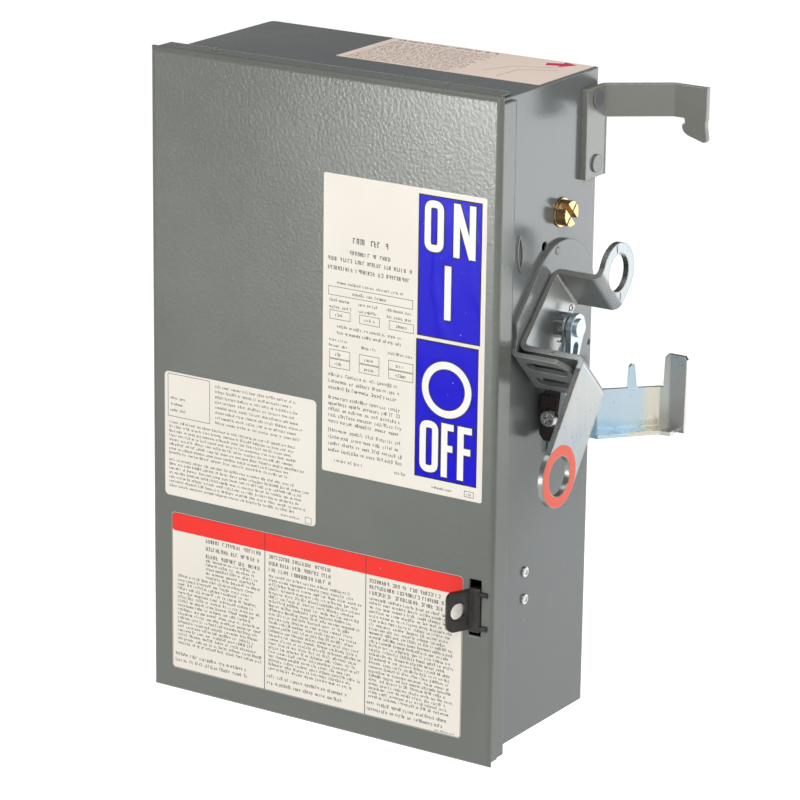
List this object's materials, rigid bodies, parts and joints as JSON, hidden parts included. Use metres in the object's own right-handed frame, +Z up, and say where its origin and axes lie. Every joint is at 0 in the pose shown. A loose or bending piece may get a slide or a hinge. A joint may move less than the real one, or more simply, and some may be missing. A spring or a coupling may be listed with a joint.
{
  "type": "busway tap off box",
  "caption": "Fused plug-in unit for busway: steel box with a hinged cover, side hookstick handle behind a padlock guard, fixed and sliding hooks, knife switch and fuses.",
  "frame": {"origin": "centre of the enclosure's back face, where it rests on the busway", "axes": "+Z up, -Y out of the front cover, +Y into the busway, +X towards the handle side"},
  "size_m": [0.2764, 0.1552, 0.3728],
  "materials": {
    "grey_paint": "semi-gloss powder coat with fine orange peel",
    "zinc": "bright zinc plate",
    "handle_zinc": "blue-white zinc plate, slightly uneven",
    "black_moulding": "black glass-filled moulding",
    "brass": "turned brass",
    "copper": "bare copper",
    "spring_bronze": "tinned spring bronze",
    "cream_moulding": "moulded polyester glass",
    "fibre_tube": "wound fibre tube",
    "fibre_board": "pressed fibre board",
    "clear_sheet": "clear sheet",
    "aluminium": "extruded, tin plated",
    "green_screw": "green finish",
    "plated_jaw": "silver plated copper"
  },
  "bodies": {
    "enclosure": {"enclosure": "grey_paint", "hinge_pins": "zinc", "box_hinge_leaves": "zinc", "latch_keeper": "zinc", "keeper_rivets": "zinc", "hanger_hook": "grey_paint", "hook_rivets": "grey_paint", "release_bush": "zinc", "padlock_guard": "grey_paint", "guard_rivets": "grey_paint", "shaft_bush": "zinc", "slide_rivets": "zinc", "switch_base": "cream_moulding", "base_screws": "zinc", "bearing_blocks": "black_moulding", "line_contacts": "copper", "load_contacts": "copper", "phase_barriers": "fibre_board", "line_shield": "clear_sheet", "fuse_base": "cream_moulding", "line_fuse_clips": "spring_bronze", "load_fuse_clips": "spring_bronze", "fuse_tubes": "fibre_tube", "fuse_ferrules": "copper", "load_straps": "copper", "load_lugs": "aluminium", "lug_screws": "zinc", "ground_lug": "aluminium", "ground_screws": "green_screw", "jaw_housing": "black_moulding", "busway_jaws": "plated_jaw", "ground_jaw": "plated_jaw", "knockout_discs": "grey_paint"},
    "cover": {"front_cover": "grey_paint", "cover_hinge_leaves": "zinc"},
    "latch": {"cover_latch": "black_moulding", "latch_blade": "black_moulding", "latch_catch": "zinc"},
    "handle": {"switch_handle": "handle_zinc", "handle_shaft": "zinc", "shaft_nut": "zinc", "cotter_pin": "zinc", "switch_rotor": "black_moulding", "moving_blades": "copper"},
    "link": {"slotted_link": "handle_zinc"},
    "hook": {"lower_hook": "handle_zinc", "drive_block": "black_moulding", "block_screw": "zinc"},
    "release": {"release_screw": "brass"}
  },
  "joints": [
    {"name": "cover_swing", "type": "hinge", "parent": "enclosure", "child": "cover", "pos_m": [-0.1115, -0.092, 0], "axis": [0, 0, -1], "range_deg": [0, 100]},
    {"name": "latch_slide", "type": "slide", "parent": "cover", "child": "latch", "axis": [0, 0, 1], "range_m": [0, 0.0045]},
    {"name": "handle_turn", "type": "hinge", "parent": "enclosure", "child": "handle", "pos_m": [0.1119, -0.0478, 0.0495], "axis": [-1, 0, 0], "range_deg": [0, 94]},
    {"name": "link_swing", "type": "hinge", "parent": "enclosure", "child": "link", "pos_m": [0.1236, -0.0478, 0.0495], "axis": [-1, 0, 0], "range_deg": [0, 7.62]},
    {"name": "hook_slide", "type": "slide", "parent": "enclosure", "child": "hook", "axis": [0, -1, 0], "range_m": [0, 0.0061]},
    {"name": "release_turn", "type": "hinge", "parent": "enclosure", "child": "release", "pos_m": [0.107, -0.038, 0.1086], "axis": [1, 0, 0], "range_deg": [0, 90]}
  ],
  "couplings": [
    {"joint": "link_swing", "follows": "handle_turn", "ratio": 0.081},
    {"joint": "hook_slide", "follows": "handle_turn", "m_per_rad": 0.003657}
  ]
}
